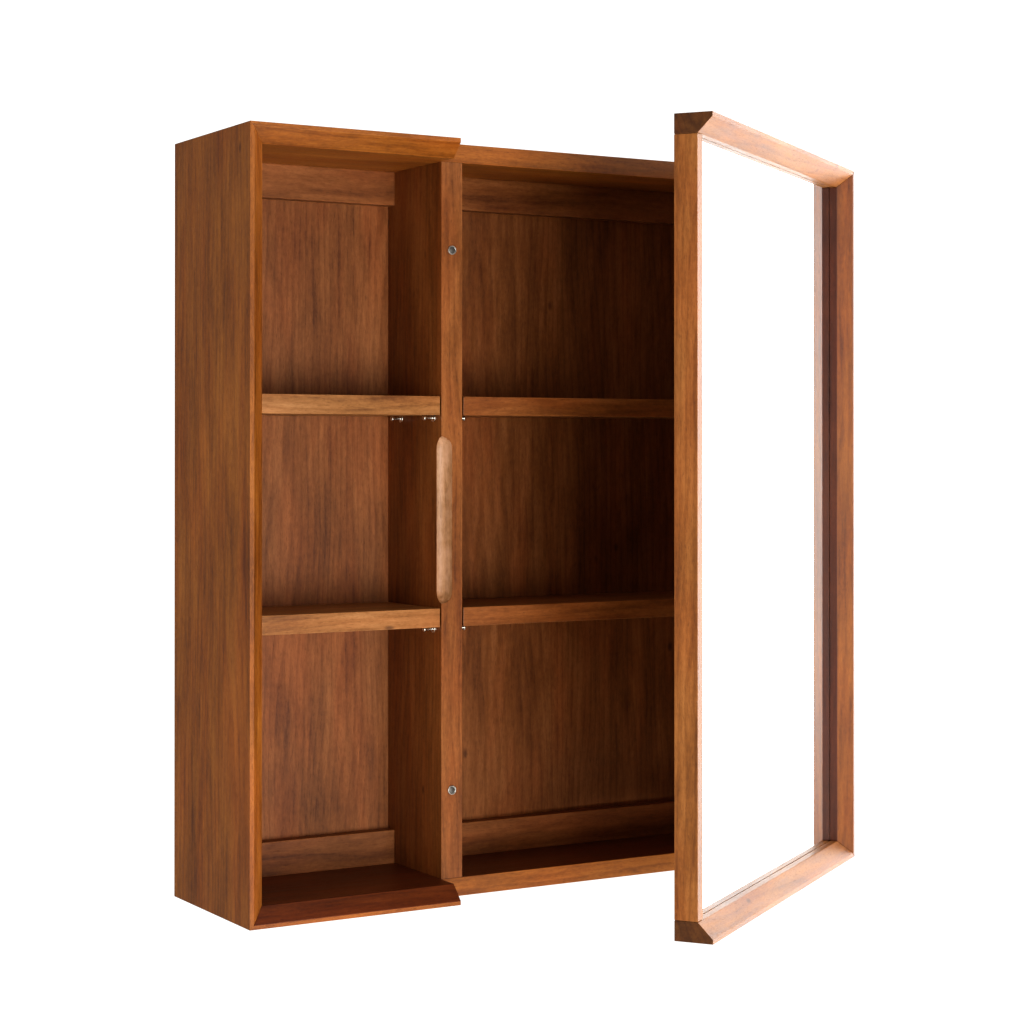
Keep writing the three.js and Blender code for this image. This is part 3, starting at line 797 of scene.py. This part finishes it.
def add_piece(name, shape, matrix, body, slot, materials, *nodes):
    """Puts a shape in its place, on its body, instead of the nodes that it stands for."""
    bmesh.ops.transform(shape, matrix=matrix, verts=shape.verts)
    bmesh.ops.recalc_face_normals(shape, faces=shape.faces)
    shade(shape)
    mesh = bpy.data.meshes.new(name)
    shape.to_mesh(mesh)
    shape.free()
    for material in materials:
        mesh.materials.append(material)
    piece = bpy.data.objects.new(name, mesh)
    bpy.context.scene.collection.objects.link(piece)
    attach(piece, body)
    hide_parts(*nodes)
    return piece


# Turns for pieces that are made on +Z.
TO_LEFT = Matrix.Rotation(math.radians(-90), 4, "Y")
TO_RIGHT = Matrix.Rotation(math.radians(90), 4, "Y")
TO_FRONT = Matrix.Rotation(math.radians(90), 4, "X")
TO_WALL = Matrix.Rotation(math.radians(-90), 4, "X")

# Profiles of heads, as shares of their radius and height.
CAP_PROFILE = ((1, 0.3), (0.92, 0.75), (0.75, 1))
PIVOT_PROFILE = ((0.8, 0), (1, 0.4), (1, 1))
# How far a cross recess reaches, as shares of its head.
CAP_REACH = 0.5
SCREW_REACH = 0.55
# A screw's blunt tip, and where it gets its full thickness, as shares of that.
SCREW_TIP = 0.4
SCREW_TAPER = 2.5
# The rim and the floor of a strike's dimple, as shares of its radius.
DIMPLE_RIM = 0.3
DIMPLE_FLOOR = 0.22

# ---------------------------------------------------------------------------------------
# Pieces
# ---------------------------------------------------------------------------------------


class CABINET_OT_boards(bpy.types.Operator):
    """Stain every board of the case and the door, and ease its edges"""

    bl_idname = "cabinet.boards"
    bl_label = "Boards"

    def execute(self, context):
        settings = context.scene.cabinet.wood
        case = tuple(settings.case_stain)
        shelf = tuple(settings.shelf_stain)
        inner = tuple(settings.inner_stain)
        door = tuple(settings.frame_stain)
        raw = tuple(settings.raw_tone)
        door_level = LEVEL @ DOOR_BACK_TURN
        boards = {
            "left_side": (UPRIGHT, case),
            "right_side": (UPRIGHT, case),
            "top_board": (LEVEL, case),
            "bottom_board": (LEVEL, case),
            "back_panel": (UPRIGHT, inner),
            "door_bottom_rail": (door_level, door),
            "door_top_rail": (door_level, door),
            # The hinge stile is drawn darker: painted shade, as it faces away from the light.
            "door_hinge_stile": (DOOR_BACK_TURN, scaled(door, HINGE_SHADE_SHARES)),
            "door_free_stile": (DOOR_BACK_TURN, door),
        }
        for bay in BAYS:
            for end in ENDS:
                boards[f"{bay}_{end}_rail"] = (LEVEL, inner)
        for end in ENDS:
            boards[f"open_bay_{end}_shelf"] = (LEVEL, scaled(shelf, PALE_STAIN))
            # The door bay's shelves are drawn darker: painted shade of the open door.
            boards[f"door_bay_{end}_shelf"] = (LEVEL, scaled(shelf, DARKER_SHARES))
        for node, (turn, stain) in boards.items():
            on_door = node.startswith("door") and not node.startswith("door_bay")
            lacquer = settings.door_lacquer if on_door else settings.lacquer
            finish_board(node, turn, stain, settings, lacquer)
        hidden = {
            "hanging_cleat": LEVEL,
            "wall_spacer": LEVEL,
            "door_back_board": DOOR_BACK_TURN,
        }
        for node, turn in hidden.items():
            finish_board(node, turn, raw, settings, 0.0)
        return {"FINISHED"}


class CABINET_OT_divider(bpy.types.Operator):
    """Make the divider with its smooth finger recess"""

    bl_idname = "cabinet.divider"
    bl_label = "Divider"

    def execute(self, context):
        settings = context.scene.cabinet.wood
        shape = merged_copy("divider")
        self.mark_recess(shape)
        full = scaled(tuple(settings.shelf_stain), DARKER_SHARES)
        bare = scaled(tuple(settings.shelf_stain), BARE_STAIN)
        piece = add_piece("divider_board", shape, STANDING, "case", "shelf_wood", (), "divider")
        wear(piece, "divider", UPRIGHT, full, settings, settings.lacquer)
        recess = wood("recess_wood", "divider", UPRIGHT, bare, settings, settings.lacquer, True)
        piece.data.materials.append(recess)
        ease_edges(piece, settings.edge_ease)
        return {"FINISHED"}

    @staticmethod
    def mark_recess(shape):
        """Gives the bare wood to the faces that are sunk into the board's front left edge."""
        low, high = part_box("divider")
        reach = (high.x - low.x) / 2
        for face in shape.faces:
            place = face.calc_center_median() - low
            at_edge = max(place.x, place.y) < reach and face.normal.y < -0.1
            if at_edge and place.y > RECESS_LEAST:
                face.material_index = RECESS_MATERIAL


class CABINET_OT_mirror(bpy.types.Operator):
    """Make the silvered pane with its ground arris"""

    bl_idname = "cabinet.mirror"
    bl_label = "Mirror"

    def execute(self, context):
        settings = context.scene.cabinet.mirror
        shape = slab(*closed_box("mirror", DOOR_TURN))
        rounded(shape, shape.edges[:], settings.arris, segments=1)
        material = silvered_glass("silvered_glass", settings)
        add_piece("mirror_pane", shape, DOOR_TURN, "door", "mirror_glass", [material], "mirror")
        return {"FINISHED"}


class CABINET_OT_shelf_pins(bpy.types.Operator):
    """Turn the sixteen shelf pins"""

    bl_idname = "cabinet.shelf_pins"
    bl_label = "Shelf pins"

    def execute(self, context):
        sizes = context.scene.cabinet.fittings
        nickel = nickel_plate(context)
        for bay, shelf, wall, row in itertools.product(BAYS, ENDS, WALLS, ("front", "rear")):
            self.pin(f"{bay}_pin_{shelf}_{wall}_{row}", wall, sizes, nickel)
        return {"FINISHED"}

    @staticmethod
    def pin(node, wall, sizes, nickel):
        """Shank in the board, collar against it, and a waist before the head."""
        low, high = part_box(node)
        radius = sizes.pin_radius
        waist = sizes.pin_waist
        collar = (high.z - low.z) / 2
        length = high.x - low.x - sizes.pin_shank
        neck = length - sizes.pin_head
        shape = turned([
            (0, -sizes.pin_shank), (radius, -sizes.pin_shank), (radius, 0), (collar, 0),
            (collar, sizes.collar_thickness), (waist, sizes.collar_thickness), (waist, neck),
            (radius, neck), (radius, length), (0, length),
        ], PIN_SIDES, PIN_ROUNDING)
        place = (low + high) / 2
        if wall == "left":
            place.x = low.x + sizes.pin_shank
            turn = TO_RIGHT
        else:
            place.x = high.x - sizes.pin_shank
            turn = TO_LEFT
        matrix = Matrix.Translation(place) @ turn
        add_piece(f"{node}_turned", shape, matrix, "case", "nickel", [nickel], node)


class CABINET_OT_catches(bpy.types.Operator):
    """Make the two cup magnets and the steel discs that they hold"""

    bl_idname = "cabinet.catches"
    bl_label = "Magnetic catches"

    def execute(self, context):
        sizes = context.scene.cabinet.fittings
        steel = bare_steel(context)
        core = ferrite("ferrite", tuple(context.scene.cabinet.metal.ferrite))
        for end in ENDS:
            self.magnet(f"{end}_magnet", sizes, [steel, core])
            self.strike(f"{end}_strike", sizes, [steel])
        return {"FINISHED"}

    @staticmethod
    def magnet(node, sizes, materials):
        """A steel cup with its magnet inside, sunk into the divider."""
        low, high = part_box(node)
        length = high.y - low.y
        rim = (high.x - low.x) / 2
        bore = rim - sizes.cup_wall
        core = bore - sizes.cup_gap
        groove = length - sizes.cup_groove
        sunk = length - sizes.core_sunk
        shape = turned([
            (0, 0), (rim, 0), (rim, length), (bore, length), (bore, groove),
            (core, groove), (core, sunk), (0, sunk),
        ], DISC_SIDES, RIM_ROUNDING)
        for face in shape.faces:
            place = face.calc_center_median()
            inside = place.xy.length < core + sizes.cup_gap / 2 and place.z > groove
            face.material_index = int(inside)
        middle = (low + high) / 2
        matrix = Matrix.Translation((middle.x, high.y, middle.z)) @ TO_FRONT
        add_piece(f"{node}_cup", shape, matrix, "case", "steel", materials, node)

    @staticmethod
    def strike(node, sizes, materials):
        """A disc with a dimple in its face and a spigot behind it."""
        low, high = closed_box(node, DOOR_TURN)
        radius = (high.x - low.x) / 2
        proud = high.y - low.y - sizes.spigot
        dimple = proud - sizes.dimple
        shape = turned([
            (0, -sizes.spigot), (sizes.spigot_radius, -sizes.spigot), (sizes.spigot_radius, 0),
            (radius, 0), (radius, proud), (radius * DIMPLE_RIM, proud),
            (radius * DIMPLE_FLOOR, dimple), (0, dimple),
        ], DISC_SIDES, RIM_ROUNDING)
        middle = (low + high) / 2
        place = Matrix.Translation((middle.x, high.y - proud, middle.z)) @ TO_WALL
        add_piece(f"{node}_disc", shape, DOOR_TURN @ place, "door", "steel", materials, node)


class CABINET_OT_retaining_plates(bpy.types.Operator):
    """Make the four plates that hold the door's back board"""

    bl_idname = "cabinet.retaining_plates"
    bl_label = "Retaining plates"

    def execute(self, context):
        sizes = context.scene.cabinet.fittings
        steel = bare_steel(context)
        for end, side in itertools.product(ENDS, WALLS):
            node = f"{end}_{side}_retaining_plate"
            low, high = closed_box(node, DOOR_TURN)
            shape = self.plate(low, high, sizes)
            name = f"{end}_{side}_plate_with_screws"
            add_piece(name, shape, DOOR_TURN, "door", "steel", [steel], node)
        return {"FINISHED"}

    @staticmethod
    def plate(low, high, sizes):
        """A flat plate with a screw head near each end, both on the closed door."""
        back = low.y + sizes.plate_thickness
        shape = slab(low, Vector((high.x, back, high.z)))
        corners = [
            edge for edge in shape.edges
            if abs(edge.verts[0].co.y - edge.verts[1].co.y) > MERGE_DISTANCE
        ]
        rounded(shape, corners, sizes.plate_corner, segments=6)
        rounded(shape, sharp_edges(shape), PLATE_ROUNDING)
        width = high.x - low.x
        head = sizes.head_radius
        rise = high.y - back
        for z in (low.z + width / 2, high.z - width / 2):
            dome = [(head * across, rise * up) for across, up in CAP_PROFILE]
            cap = turned_shell([(head, -HEAD_LAND), *dome], PIN_SIDES)
            cross_recess(cap, rim_at(cap, rise), head * CAP_REACH, rise, sizes.cap_slot)
            bmesh.ops.holes_fill(cap, edges=rim_at(cap, -HEAD_LAND))
            place = Matrix.Translation(((low.x + high.x) / 2, back, z)) @ TO_WALL
            bmesh.ops.transform(cap, matrix=place, verts=cap.verts)
            joined(shape, cap)
        return shape


class CABINET_OT_hinges(bpy.types.Operator):
    """Make the two butt hinges: leaves, pins and countersunk screws"""

    bl_idname = "cabinet.hinges"
    bl_label = "Hinges"

    def execute(self, context):
        sizes = context.scene.cabinet.fittings
        nickel = nickel_plate(context)
        for end in ENDS:
            for body, turn, facing in (("case", STANDING, TO_FRONT), ("door", DOOR_TURN, TO_WALL)):
                self.leaf(f"{end}_hinge_{body}_leaf", body, nickel)
                for row in ("low", "high"):
                    node = f"{end}_hinge_{body}_screw_{row}"
                    shape, place = self.screw(closed_box(node, turn), facing, sizes)
                    name = f"{node}_crossed"
                    add_piece(name, shape, turn @ place, body, "nickel", [nickel], node)
            self.pivot(f"{end}_hinge_pin", sizes, nickel)
        return {"FINISHED"}

    @staticmethod
    def leaf(node, body, nickel):
        """One leaf with its knuckles, its edges softened."""
        shape = merged_copy(node)
        rounded(shape, sharp_edges(shape), RIM_ROUNDING, segments=1)
        add_piece(f"{node}_pressed", shape, STANDING, body, "nickel", [nickel], node)

    @staticmethod
    def screw(box, facing, sizes):
        """A countersunk screw, and the matrix that puts its head on its leaf."""
        low, high = box
        head = (high.x - low.x) / 2
        core = sizes.screw_radius
        slope = head - core
        length = high.y - low.y
        shape = turned_shell([
            (0, -length), (core * SCREW_TIP, -length + core),
            (core, -length + core * SCREW_TAPER), (core, -slope), (head, -HEAD_LAND), (head, 0),
        ], PIN_SIDES)
        cross_recess(shape, rim_at(shape, 0), head * SCREW_REACH, 0, sizes.screw_slot)
        middle = (low + high) / 2
        face = low.y if facing == TO_FRONT else high.y
        return shape, Matrix.Translation((middle.x, face, middle.z)) @ facing

    @staticmethod
    def pivot(node, sizes, nickel):
        """The hinge pin, headed at its lower end."""
        low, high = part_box(node)
        head = (high.x - low.x) / 2
        thickness = sizes.pivot_head
        length = high.z - low.z
        knob = [(head * across, thickness * up) for across, up in PIVOT_PROFILE]
        shape = turned([
            (0, 0), *knob, (sizes.pivot_radius, thickness), (sizes.pivot_radius, length),
            (0, length),
        ], PIN_SIDES, PIVOT_ROUNDING)
        middle = (low + high) / 2
        place = Matrix.Translation((middle.x, middle.y, low.z))
        add_piece(f"{node}_turned", shape, place, "case", "nickel", [nickel], node)


def shared_metal(name, colour, roughness):
    """A metal that is made once, when the first piece needs it."""
    return bpy.data.materials.get(name) or metal(name, tuple(colour), roughness)


def nickel_plate(context):
    settings = context.scene.cabinet.metal
    return shared_metal("nickel_plate", settings.nickel, settings.nickel_roughness)


def bare_steel(context):
    settings = context.scene.cabinet.metal
    return shared_metal("bare_steel", settings.steel, settings.steel_roughness)


# ---------------------------------------------------------------------------------------
# Stage
# ---------------------------------------------------------------------------------------

FLOOR_RADIUS = 3.4
FLOOR_SIDES = 96
# Soft lamps: offset from the middle of the cabinet, width and height, and watts.
LAMPS = {
    "front_light": ((-0.40, -2.95, -0.50), (1.6, 1.6), 80),
    "left_light": ((-0.96, -0.19, 0.0), (0.2, 1.5), 1.35),
    "right_light": ((1.84, -1.15, 0.1), (1.6, 1.6), 38),
}
# Towards the window on the right, which lights the door, and how much more it gives than the
# soft light from above and from all round.
WINDOW_SIDE = (0.87, 0.5, 0.0)
WINDOW_LIGHT = 3.2
WINDOW_HALO = 0.9
HIGH_LIGHT = 0.4
ROOM_LIGHT = 0.25


class CABINET_OT_stage(bpy.types.Operator):
    """Lay the floor, set the lights and place the camera"""

    bl_idname = "cabinet.stage"
    bl_label = "Stage"

    def execute(self, context):
        settings = context.scene.cabinet.stage
        scene = context.scene
        scene.view_settings.view_transform = "Standard"
        scene.view_settings.look = "Medium High Contrast"
        self.floor(settings)
        self.surroundings(scene)
        for name, lamp in LAMPS.items():
            self.soft_lamp(name, *lamp)
        self.camera(scene, settings)
        return {"FINISHED"}

    @staticmethod
    def floor(settings):
        shape = bmesh.new()
        bmesh.ops.create_circle(shape, cap_ends=True, segments=FLOOR_SIDES, radius=FLOOR_RADIUS)
        mesh = bpy.data.meshes.new("floor")
        shape.to_mesh(mesh)
        shape.free()
        floor = bpy.data.objects.new("floor", mesh)
        floor.location.z = CAD_BOX[0].z - settings.hang_height
        material, shader, place = new_material("pale_floor")
        colour = tuple(settings.floor_colour)
        cloud = place.stretched(0.8, 0.8).noise(3.0)
        feed(shader, "Base Color", cloud.mixed(colour, scaled(colour, grey(0.97))))
        feed(shader, "Roughness", 0.85)
        mesh.materials.append(material)
        bpy.context.scene.collection.objects.link(floor)

    @staticmethod
    def surroundings(scene):
        """A white backdrop, and soft light that is strongest from the window."""
        world = bpy.data.worlds.new("studio")
        world.use_nodes = True
        scene.world = world
        tree = world.node_tree
        background = next(node for node in tree.nodes if node.type == "BACKGROUND")
        direction = Socket(tree, tree.nodes.new("ShaderNodeTexCoord").outputs["Generated"])
        sideways = direction.dot(WINDOW_SIDE)
        window = sideways.step(0.8, 0.94) * WINDOW_LIGHT + sideways.step(0.4, 0.8) * WINDOW_HALO
        brightness = window + direction.height().step(0.1, 0.9) * HIGH_LIGHT + ROOM_LIGHT
        seen = Socket(tree, tree.nodes.new("ShaderNodeLightPath").outputs["Is Camera Ray"])
        strength = brightness + seen * (1.0 - brightness)
        tree.links.new(strength.output, background.inputs["Strength"])
        background.inputs["Color"].default_value = (1.0, 1.0, 1.0, 1.0)

    @staticmethod
    def soft_lamp(name, offset, size, power):
        """A round or oval lamp that faces the middle of the cabinet, and doesn't show."""
        light = bpy.data.lights.new(name, "AREA")
        light.shape = "ELLIPSE"
        light.size, light.size_y = size
        light.energy = power
        lamp = bpy.data.objects.new(name, light)
        lamp.location = (CAD_BOX[0] + CAD_BOX[1]) / 2 + Vector(offset)
        lamp.visible_camera = False
        lamp.rotation_euler = (-Vector(offset)).to_track_quat("-Z", "Y").to_euler()
        bpy.context.scene.collection.objects.link(lamp)

    @staticmethod
    def camera(scene, settings):
        data = bpy.data.cameras.new("camera")
        data.lens = settings.lens
        data.shift_y = settings.shift
        camera = bpy.data.objects.new("camera", data)
        camera.location = settings.camera_place
        upright = math.radians(90)
        camera.rotation_euler = (upright + settings.camera_tilt, 0, -settings.camera_turn)
        scene.collection.objects.link(camera)
        scene.camera = camera


# ---------------------------------------------------------------------------------------
# Add-on
# ---------------------------------------------------------------------------------------

STEPS = (
    CABINET_OT_boards,
    CABINET_OT_divider,
    CABINET_OT_mirror,
    CABINET_OT_shelf_pins,
    CABINET_OT_catches,
    CABINET_OT_retaining_plates,
    CABINET_OT_hinges,
    CABINET_OT_stage,
)


class CABINET_PT_finish(bpy.types.Panel):
    """Settings and steps of the cabinet"""

    bl_idname = "CABINET_PT_finish"
    bl_label = "Medicine cabinet"
    bl_space_type = "VIEW_3D"
    bl_region_type = "UI"
    bl_category = "Cabinet"

    def draw(self, context):
        layout = self.layout
        for group in ("wood", "metal", "mirror", "fittings", "stage"):
            settings = getattr(context.scene.cabinet, group)
            box = layout.box()
            box.label(text=group.capitalize())
            for name in settings.__annotations__:
                box.prop(settings, name)
        for step in STEPS:
            layout.operator(step.bl_idname)


CLASSES = (
    WoodSettings,
    MetalSettings,
    MirrorSettings,
    FittingSettings,
    StageSettings,
    CabinetSettings,
    *STEPS,
    CABINET_PT_finish,
)


def register():
    for item in CLASSES:
        bpy.utils.register_class(item)
    bpy.types.Scene.cabinet = bpy.props.PointerProperty(type=CabinetSettings)


def unregister():
    del bpy.types.Scene.cabinet
    for item in reversed(CLASSES):
        bpy.utils.unregister_class(item)


def main():
    register()
    bpy.ops.cabinet.boards()
    bpy.ops.cabinet.divider()
    bpy.ops.cabinet.mirror()
    bpy.ops.cabinet.shelf_pins()
    bpy.ops.cabinet.catches()
    bpy.ops.cabinet.retaining_plates()
    bpy.ops.cabinet.hinges()
    bpy.ops.cabinet.stage()


if __name__ == "__main__":
    main()
